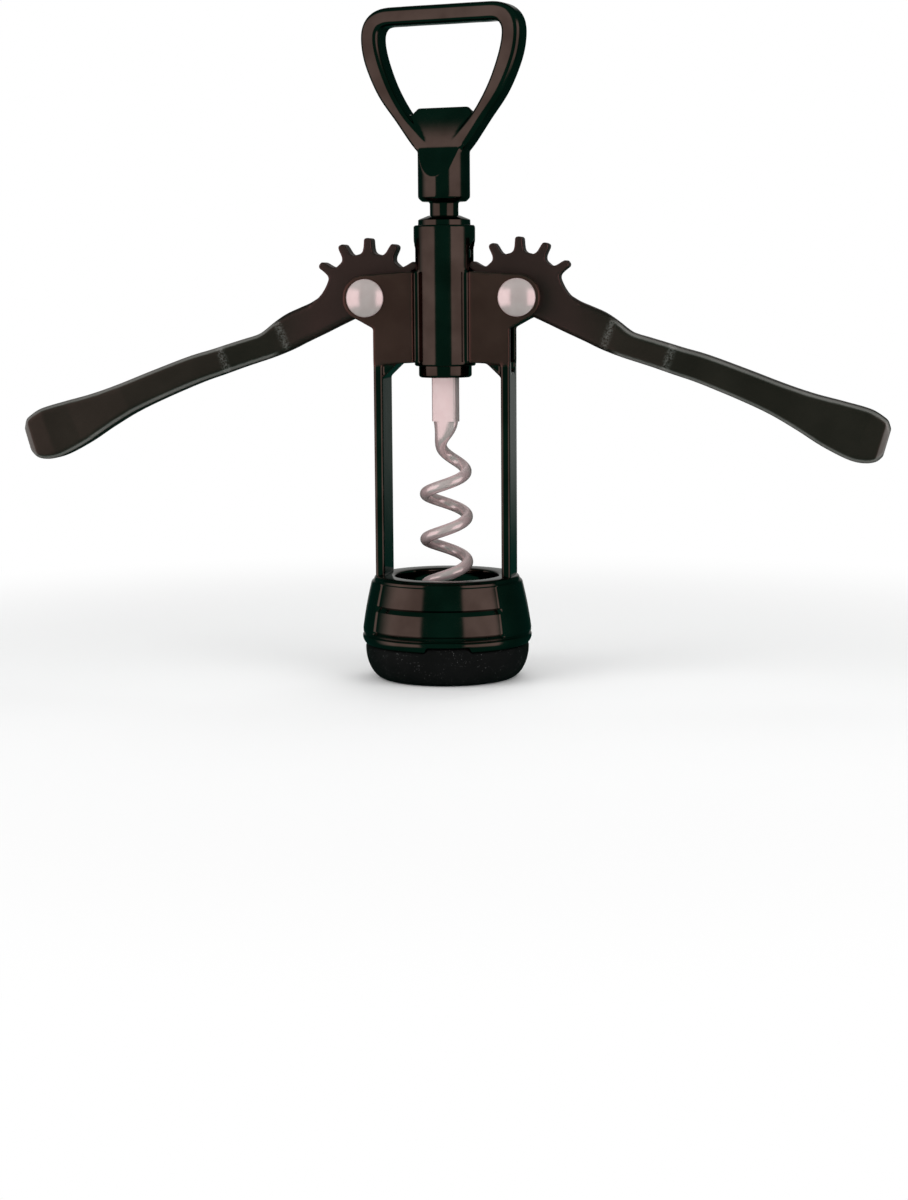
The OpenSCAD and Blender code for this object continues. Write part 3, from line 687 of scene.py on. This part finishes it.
# %% Handle
handle_turn = -16.0  # degrees about Z
boss_r, boss_h = 6.55, 12.2
bow_w, bow_h, bow_t = 43.8, 35.0, 6.4  # across, high and thick
bow_bar, bow_top_bar = 5.0, 4.6  # the bar's width at the legs and at the top
boss_z = handle_high[2] - bow_h - boss_h
boss_top = boss_z + boss_h
neck_z = handle_low[2]
web_t = 6.3
lift_h, lift_w, lift_cut = 10.0, 17.2, 1.9  # the lip's height, width and cut corner


def bow_skin():
    """The bow: half its middle line is a smooth curve through a few stations, the other half is its
    mirror image, and the bar's half width changes along it."""
    half = bow_w / 2 - bow_bar / 2
    top = bow_h - 0.05 - bow_top_bar / 2
    stations = np.array([
        [3.4, -0.6, bow_bar * 0.46], [6.4, 2.5, bow_bar * 0.44], [half * 0.555, 7.8, bow_bar * 0.37],
        [half * 0.785, 14.4, bow_bar * 0.45], [half * 0.945, 21.6, bow_bar / 2], [half, 27, bow_bar / 2],
        [half - 0.7, top - 2.2, bow_bar / 2], [half - 3.4, top - 0.25, bow_top_bar / 2],
        [half - 9, top, bow_top_bar / 2], [0, top, bow_top_bar / 2],
    ])
    line = smooth_line(stations, 8)
    line = np.vstack([line, line[-2::-1] * [-1, 1, 1]])
    return swept_bar(line[:, :2], line[:, 2], bow_t / 2 - 0.1, np.minimum(1.4, line[:, 2] - 0.1))


# %% Web
def web_skin():
    """The web below the bow's opening, flush with the legs. Its outline is carried through in loops,
    and towards the lip both faces curve together: a loop that is `drop` below the lip stands at half
    the web's thickness, less a part that grows with its height and with its height squared."""
    half = lift_w / 2

    def outline(drop):
        top = lift_h - drop
        low, high = min(top, 1.5), min(top, lift_h - lift_cut - 1)
        wide = boss_r + 0.3 + 0.455 * (max(high, 1.5) - 1.5)  # follows the legs, inside them
        inner = min(half, wide)
        side = [[boss_r - 0.3, -0.2], [boss_r + 0.3, low], [wide, high],
                [inner, min(top, lift_h - lift_cut)], [inner - max(0, lift_cut - drop), top]]
        return side + [[-x, z] for x, z in side[::-1]]

    drop = np.linspace(9.9, 0, 15)
    rise = lift_h - drop
    deep = web_t / 2 - 0.1 * rise - 0.0145 * rise**2
    rows = [*zip(-deep, drop), *zip(deep[::-1], drop[::-1])]
    return loft([[[x, y, z] for x, z in outline(below)] for y, below in rows])


# %% Boss
def boss_skin():
    """The round boss with its two slanting cuts and the chamfer at its foot."""
    boss = disc_stack([(boss_r - 1, -1), (boss_r, 0), (boss_r, boss_h + 0.1)], 192)
    low, past = boss_h * 0.41, boss_h + 3  # where the cuts begin, and a height past the boss
    wedge = np.array([
        [boss_r, low], [web_t / 2, boss_h], [web_t / 2, past], [3 * boss_r, past], [3 * boss_r, low]
    ])
    return cut_by(boss, *(through(wedge * [facing, 1], 0, -20, 20) for facing in (1, -1)))


# %% Handle casting
handle_parts = [placed(p, shift=(0, 0, boss_top)) for p in (bow_skin(), web_skin())]
handle_parts.append(placed(boss_skin(), shift=(0, 0, boss_z)))
handle_parts.append(disc_stack([(core_r, neck_z), (core_r, boss_z)], 128))
handle = melted("handle_casting", 0.25, 8, *handle_parts)
handle.data.transform(Matrix.Rotation(math.radians(handle_turn), 4, "Z"))
dress(handle, "spindle", "black_nickel", "handle")

# %% [markdown]
# ## The worm and its socket
#
# The worm is one wire: a flat shank, a lead that swings out to the coil's radius, and a coil, turned
# as a common screw is, that ends in a fine point. A curve object with a bevel carries one section
# only, and this wire goes from flat to round. So its sections are carried down the line as whole
# arrays, each in a frame taken from the line's direction.

# %% Worm
socket_low, socket_high = box_mm("worm_socket")
_, worm_high = box_mm("worm")
shank_w, shank_t, shank_h = 6.6, 2.9, 10.8
shank_z = socket_low[2] - shank_h
worm_h = 51.5  # from the shank's lower end to the point
coil_r, coil_pitch, wire_d = 5.3, 11.6, 2.9
lead = 15.0  # the height over which the worm swings out
flat_h = 7.0  # the height over which the flat shank becomes round wire
worm_start = 196.0  # degrees, where the lead begins to turn
taper_from, tip_share = 0.82, 0.1  # where the point's taper begins, and how thick its end is
turns = (worm_h - lead / 2) / coil_pitch


def worm_line(t):
    """Points of the worm's middle line for t from 0 to 1. The drop is even. The radius eases out over
    the lead, and the turning speeds up evenly over it and is even after it."""
    drop = t * worm_h
    out = coil_r * ease(np.minimum(1, drop / lead)) * (1 - 0.25 * np.maximum(0, (t - 0.9) / 0.1) ** 2)
    share = np.where(drop < lead, 0.5 * drop**2 / lead, drop - lead / 2) / (worm_h - lead / 2)
    a = np.radians(worm_start) - 2 * np.pi * turns * share
    return np.stack([out * np.cos(a), out * np.sin(a), shank_z - drop], -1)


# %% Section of the worm
def worm_skin(steps=620, sides=28):
    """A section carried down the worm's line: across = Y cross direction, and up = direction cross
    across. It starts as the shank's flat oval, whose corners are those of a superellipse of power 2.6,
    and becomes the round wire, of power 2."""
    t = np.linspace(0, 1, steps)
    p = worm_line(t)
    d = worm_line(np.minimum(1, t + 0.002)) - worm_line(np.maximum(0, t - 0.002))
    d /= np.linalg.norm(d, axis=1, keepdims=True)
    across = np.cross([0, 1, 0], d)
    across /= np.linalg.norm(across, axis=1, keepdims=True)
    up = np.cross(d, across)
    late = np.clip((t - taper_from) / (1 - taper_from), 0, 1)
    wire = wire_d / 2 * (1 - (1 - tip_share) * late**1.3)
    blend = ease(np.minimum(1, t * worm_h / flat_h))
    a = shank_w / 2 + (wire - shank_w / 2) * blend
    b = shank_t / 2 + (wire - shank_t / 2) * blend
    w = 2 * np.pi * (np.arange(sides) + 0.5) / sides
    power = (2.6 - 0.6 * blend)[:, None]
    cw = np.sign(np.cos(w)) * np.abs(np.cos(w)) ** (2 / power) * a[:, None]
    sw = np.sign(np.sin(w)) * np.abs(np.sin(w)) ** (2 / power) * b[:, None]
    return loft(p[:, None] + across[:, None] * cw[..., None] + up[:, None] * sw[..., None])


def shank_skin():
    """The flat shank: a rounded rectangle carried straight up into the socket."""
    section = rounded_section([shank_w / 2], [shank_t / 2], [0.4], 5)[0]
    return raised(section, 0, shank_z - 0.4, worm_high[2])


# %% Worm and collar
worm_parts = [placed(part, turn=handle_turn) for part in (shank_skin(), worm_skin())]
crisp("worm_wire", 50, "spindle", "bright_nickel", "worm", *worm_parts)
socket_r, socket_z0, socket_z1 = socket_high[0], socket_low[2], socket_high[2]
collar = disc_stack([
    (socket_r - 0.55, socket_z0), (socket_r - 0.15, socket_z0 + 0.25), (socket_r, socket_z0 + 0.6),
    (socket_r, socket_z1 - 0.1), (socket_r - 0.1, socket_z1)], 160)
crisp("worm_collar", 35, "spindle", "black_nickel", "worm_socket", collar)
print("worm of", round(turns, 2), "turns")

# %% [markdown]
# ## Shader maths
#
# A finish is a few sums on positions and noises. Written as node calls they are hard to read, so one
# small class wraps a socket and lets sums be written as sums. `n` makes any other node.


# %% A socket that can be used in sums
class Wire:
    """Wraps an output socket of a material's nodes."""

    def __init__(self, tree, socket):
        self.tree, self.socket = tree, socket

    def n(self, kind, settings=None, out=0, **values):
        """Makes a node of this kind: settings first, then values or links of its sockets by name, with
        an underscore for a space, or by number after an underscore. Returns the output asked for."""
        node = self.tree.nodes.new(kind)
        for key, value in (settings or {}).items():
            setattr(node, key, value)
        for key, value in values.items():
            name = int(key[1:]) if key[0] == "_" else key.replace("_", " ")
            if isinstance(value, Wire):
                self.tree.links.new(value.socket, node.inputs[name])
            else:
                node.inputs[name].default_value = value
        return Wire(self.tree, node.outputs[out])

    def maths(self, operation, *values):
        sockets = {f"_{i}": value for i, value in enumerate(values)}
        return self.n("ShaderNodeMath", {"operation": operation}, **sockets)

    def __add__(self, other):
        return self.maths("ADD", self, other)

    def __sub__(self, other):
        return self.maths("SUBTRACT", self, other)

    def __rsub__(self, other):
        return self.maths("SUBTRACT", other, self)

    def __mul__(self, other):
        return self.maths("MULTIPLY", self, other)

    __radd__, __rmul__ = __add__, __mul__

    def beside(self, name):
        """Another output of the same node."""
        return Wire(self.tree, self.socket.node.outputs[name])

    def parts(self):
        """The x, y and z of a vector."""
        split = self.n("ShaderNodeSeparateXYZ", Vector=self)
        return tuple(split.beside(i) for i in range(3))

    def clamp(self):
        return self.n("ShaderNodeClamp", Value=self)

    def size(self):
        """The value without its sign."""
        return self.maths("ABSOLUTE", self)

    def blend(self, low, high):
        """A mix of two colours by this value. Each is a wire or four numbers."""
        return self.n("ShaderNodeMix", {"data_type": "RGBA"}, 2, _0=self, _6=low, _7=high)

    def tint(self, low, high):
        """A mix of two colours of three numbers by this value."""
        return self.blend((*low, 1), (*high, 1))

    def above(self, edge, width):
        """0 below the edge, 1 above it, with a smooth way between."""
        settings = {"interpolation_type": "SMOOTHSTEP"}
        values = {"Value": self, "From_Min": edge - width / 2, "From_Max": edge + width / 2}
        return self.n("ShaderNodeMapRange", settings, **values)


def finish(name, **fixed):
    """A new material with its shader's fixed values. Returns the material, the shader and a wire that
    carries Object coordinates."""
    material = bpy.data.materials.new(name)
    material.use_nodes = True
    shader = material.node_tree.nodes["Principled BSDF"]
    for key, value in fixed.items():
        shader.inputs[key.replace("_", " ")].default_value = value
    place = material.node_tree.nodes.new("ShaderNodeTexCoord")
    return material, shader, Wire(material.node_tree, place.outputs["Object"])


def feed(shader, name, wire):
    """Links a wire to one of the shader's sockets."""
    wire.tree.links.new(wire.socket, shader.inputs[name])


def noise(place, scale, detail=3.0, stretch=(1, 1, 1)):
    """A noise in millimetres: `scale` is the size of its features, and `stretch` lengthens them."""
    moved = place.n("ShaderNodeMapping", Vector=place, Scale=tuple(1 / MM / scale / s for s in stretch))
    return place.n("ShaderNodeTexNoise", Vector=moved, Scale=1.0, Detail=detail, Roughness=0.5)


def bumped(shader, height, depth_mm):
    """Lets a height in 0 to 1 tilt the surface, with its real depth in millimetres."""
    feed(shader, "Normal", height.n("ShaderNodeBump", Height=height, Strength=1.0, Distance=depth_mm * MM))


# %% [markdown]
# ## The finishes
#
# Black nickel is a thin plating over polished zinc. It reflects sharply but returns less than a tenth
# of the light, a little warm. The casting under it was buffed on a wheel, so it waves very slightly,
# and fine rub marks make its gloss uneven. The cheeks and the levers were only blasted before they
# were plated, so they are satin. The levers' hubs look brown; past 38 mm their arms are painted nearly
# black, a painted shade of the hands that hold them, and their edges and two creases carry a pale
# painted highlight. The caps and the worm are plain nickel with a pearly look from a shader that is
# half metal and half pale paint; its pink tint is painted reflection. The guide is nearly black plastic
# with a little dust. Every pattern is a noise on Object coordinates, in millimetres, so it stays on its
# piece when a joint moves.


# %% Black nickel
def black_nickel():
    material, shader, place = finish("black_nickel_plate", Metallic=1.0)
    cloud = noise(place, 9)
    fine = noise(place, 0.9, 4, (1, 1, 4))
    rubs = noise(place, 0.16, 2, (1, 1, 22)).above(0.62, 0.16)
    x, y, z = place.parts()
    # the satin cheeks lie beside the barrel, in front of the gears and behind them, between two heights
    satin = x.size().above(7.0 * MM, 0.3 * MM) * y.size().above(5.2 * MM, 0.3 * MM)
    satin = satin * z.above(79.5 * MM, 1.2 * MM) * (1 - z.above(104 * MM, 2 * MM))
    polished = cloud.above(0.5, 0.5).tint((0.054, 0.036, 0.030), (0.086, 0.060, 0.051))
    blasted = cloud.above(0.5, 0.5).tint((0.150, 0.062, 0.054), (0.190, 0.081, 0.071))
    feed(shader, "Base Color", satin.blend(polished, blasted))
    feed(shader, "Roughness", 0.075 + cloud * 0.05 + fine * 0.025 + rubs * 0.05 + satin * 0.4)
    bumped(shader, noise(place, 5.5, 2) * 0.75 + fine * 0.06, 0.022)
    return material


# %% Satin black levers
def lever_black():
    material, shader, place = finish("lever_satin_black")
    cloud = noise(place, 12)
    grain = noise(place, 0.22)
    pores = noise(place, 1.1, 2).above(0.7, 0.1)
    x, y, z = place.parts()
    shade = cloud * 0.7 + grain * 0.3
    brown = shade.tint((0.094, 0.042, 0.040), (0.150, 0.070, 0.067))
    # the arms' nearly black tone is painted shade, blended in past 38 mm below
    black = shade.tint((0.036, 0.022, 0.018), (0.100, 0.066, 0.056))
    # a pale painted highlight along the arm's rounded edges, from the mask that mark_edges stores
    edge = place.n("ShaderNodeAttribute", {"attribute_name": "rubbed_edge"}, 2) * (shade * 0.5 + 0.55)
    # two painted highlights cross the arm's faces at its creases, where the face bends, along lines that
    # slant by 0.37 in 1
    along = x.size() - z * 0.37 + (shade - 0.5) * 1.5 * MM
    crease_highlights = sum(1 - (along - crease * MM).size().above(0.9 * MM, 1.6 * MM) for crease in (9.4, 26.6))
    crease_highlights = crease_highlights * y.size().above(2.6 * MM, 0.8 * MM) * noise(place, 0.45).above(0.5, 0.3)
    # edge and crease highlights together: a painted highlight that makes the colour pale and the metal less
    # metallic
    painted_highlight = (edge + crease_highlights * 0.55).clamp()
    # past 38 mm from the axis the arms turn nearly black: painted shade of the hands that hold them
    tone_with_painted_arm_shade = x.size().above(38 * MM, 16 * MM).blend(brown, black)
    feed(shader, "Base Color", painted_highlight.blend(tone_with_painted_arm_shade, (0.27, 0.245, 0.235, 1)))
    feed(shader, "Metallic", 0.9 - painted_highlight * 0.5)
    feed(shader, "Roughness", 0.36 + grain * 0.08 + cloud * 0.08)
    bumped(shader, noise(place, 6, 2) * 0.7 + grain * 0.12 - pores * 0.12, 0.03)
    return material


# %% Bright nickel
def bright_nickel():
    material, shader, place = finish("pearl_nickel_plate", Metallic=0.5)
    cloud = noise(place, 3.2)
    drawn = noise(place, 0.12, 3, (1, 1, 14))
    # the pink tint is painted reflection: it gives the caps and the worm pink reflections and offsets the
    # studio's green
    feed(shader, "Base Color", cloud.tint((0.72, 0.52, 0.52), (0.84, 0.68, 0.68)))
    feed(shader, "Roughness", 0.14 + cloud * 0.08 + drawn * 0.05)
    bumped(shader, cloud * 0.7 + drawn * 0.1, 0.02)
    return material


# %% Turned steel inside
def turned_steel():
    material, shader, place = finish("turned_steel", Metallic=1.0)
    lines = noise(place, 0.1, 2, (30, 30, 1))
    feed(shader, "Base Color", lines.tint((0.36, 0.35, 0.34), (0.56, 0.55, 0.54)))
    feed(shader, "Roughness", 0.24 + lines * 0.16)
    return material


# %% Moulded plastic
def guide_plastic():
    material, shader, place = finish("guide_matte_plastic", Specular_IOR_Level=0.05)
    grain = noise(place, 0.35)
    dust = noise(place, 0.3, 2).above(0.7, 0.05) * noise(place, 4, 2).above(0.5, 0.2)
    cloud = noise(place, 7)
    plastic = cloud.tint((0.002, 0.002, 0.002), (0.008, 0.008, 0.008))
    feed(shader, "Base Color", (dust * 0.5).blend(plastic, (0.3, 0.3, 0.3, 1)))
    feed(shader, "Roughness", 0.42 + grain * 0.16 + cloud * 0.06)
    bumped(shader, grain * 0.5 + noise(place, 4, 2) * 0.5, 0.05)
    return material


finishes = {
    "black_nickel": black_nickel(), "lever_black": lever_black(), "bright_nickel": bright_nickel(),
    "steel": turned_steel(), "guide_plastic": guide_plastic(),
}
print("finishes:", ", ".join(finishes))

# %% [markdown]
# ## Finishes on pieces
#
# The record gives each CAD node a material slot, and each new piece was given one when it was dressed.
# The pins and the rod have no new piece, so the CAD's own solids show their finish.

# %% Each piece takes its slot's finish
slot_of = {part["node"]: part["material_slot"] for part in frame["record"]["subparts"]}
for obj in bpy.context.scene.objects:
    slot = dressed.get(obj.name) or slot_of.get(obj.name)
    if obj.type == "MESH" and slot:
        obj.data.materials.clear()
        obj.data.materials.append(finishes[slot])
print(len(dressed), "new pieces have their finish")

# %% [markdown]
# ## The studio
#
# Polished dark metal shows the room more than itself. The photograph's bands, pale, dark and pale
# again across each round part, are two broad soft lights to the left and right with a dark gap behind
# the camera. The world gives those reflections from the direction alone, and adds a weak light beyond
# the object for edges that face away. What the camera sees directly is plain white, and what the
# pieces' diffuse side sees is an even grey.

# %% World
world = bpy.data.worlds.new("studio")
bpy.context.scene.world = world
world.use_nodes = True
nodes, links = world.node_tree.nodes, world.node_tree.links
nodes.clear()
start = Wire(world.node_tree, None)
sky_x, sky_y, sky_z = start.n("ShaderNodeTexCoord").parts()
facing = math.radians(view_azimuth)
# a bearing in half turns: 0 behind the camera, more to the right, and 1 beyond the object
across = sky_x * math.cos(facing) + sky_y * math.sin(facing)
depth = sky_y * math.cos(facing) - sky_x * math.sin(facing)
bearing = start.maths("ARCTAN2", across, depth * -1) * (1 / math.pi)
right_panel = bearing.above(0.13, 0.03) * (1 - bearing.above(0.43, 0.06))
leftward = 0 - bearing
left_panel = leftward.above(0.21, 0.03) * (1 - leftward.above(0.55, 0.2))
level_share = 1 - sky_z.size().above(0.43, 0.24)  # the panels end about 25 degrees up and down
off_front = bearing.size()
beyond = off_front.above(0.9, 0.08) * sky_z.above(-0.09, 0.06) * (1 - sky_z.above(0.75, 0.3))
light_share = ((right_panel + left_panel) * level_share + beyond * 0.32).clamp()
dim = off_front.above(0.62, 0.5).tint((0.02, 0.17, 0.125), (0.004, 0.032, 0.023))
reflected = light_share.blend(dim, (1.0, 0.97, 0.96, 1))
from_camera = start.n("ShaderNodeLightPath")
direct = (from_camera + from_camera.beside("Is Transmission Ray")).clamp()
indirect = from_camera.beside("Is Glossy Ray").blend((0.62, 0.62, 0.62, 1), reflected)
seen = direct.blend(indirect, (1, 1, 1, 1))
background = start.n("ShaderNodeBackground", Color=seen, Strength=1.0)
output = nodes.new("ShaderNodeOutputWorld")
links.new(background.socket, output.inputs["Surface"])
print("the world has", len(nodes), "nodes")

# %% [markdown]
# ## Floor and lamps
#
# The tool stands on a plain pale floor that catches its shadow. Three large soft lamps light the
# pieces' diffuse side and draw that shadow. Neither floor nor lamps show in the metal, which would
# mirror a lamp as a hard square.

# %% Floor and lamps
floor_r = 320.0
floor = put("floor", disc_stack([(floor_r, -1.0), (floor_r, -0.02)], 96))
floor.visible_glossy = False  # the bell's foot then shows the studio, as the rest of the metal does
paint, paint_shader, place = finish("floor_paint", Base_Color=(0.88, 0.88, 0.88, 1), Roughness=0.95)
# past the shadow the camera sees the floor as plain white, so that it has no horizon
far = place.n("ShaderNodeVectorMath", {"operation": "LENGTH"}, 1, _0=place).above(180 * MM, 200 * MM)
to_camera = place.n("ShaderNodeLightPath")
plain = place.n("ShaderNodeEmission", Color=(1, 1, 1, 1), Strength=1.0)
painted = Wire(paint.node_tree, paint_shader.outputs[0])
mix = place.n("ShaderNodeMixShader", _0=far * to_camera, _1=painted, _2=plain)
paint.node_tree.links.new(mix.socket, paint.node_tree.nodes["Material Output"].inputs["Surface"])
floor.data.materials.append(paint)


def soft_lamp(name, place, aim, size, power):
    """A square area lamp at a place in millimetres, turned to face a point, with its power in watts."""
    lamp = bpy.data.lights.new(name, "AREA")
    lamp.size, lamp.energy = size * MM, power
    obj = bpy.data.objects.new(name, lamp)
    bpy.context.scene.collection.objects.link(obj)
    obj.visible_glossy = False
    place, aim = np.array(place, float), np.array(aim, float)
    back = (place - aim) / np.linalg.norm(place - aim)
    x = np.cross([0, 0, 1], back)
    x /= np.linalg.norm(x)
    stand_at(obj, x, np.cross(back, x), back, place * MM)
    print(name, "lamp at", place, "of", power, "W")


soft_lamp("key", (-520, -420, 520), (0, 0, 90), 560, 2.6)
soft_lamp("fill", (560, -330, 420), (0, 0, 90), 560, 2.0)
soft_lamp("rim", (60, 520, 560), (0, 0, 110), 500, 1.6)
bpy.context.scene.view_settings.view_transform = "Standard"

# %% [markdown]
# ## Finish
#
# The pieces' box should lie inside the CAD's box.

# %% Finish
import json
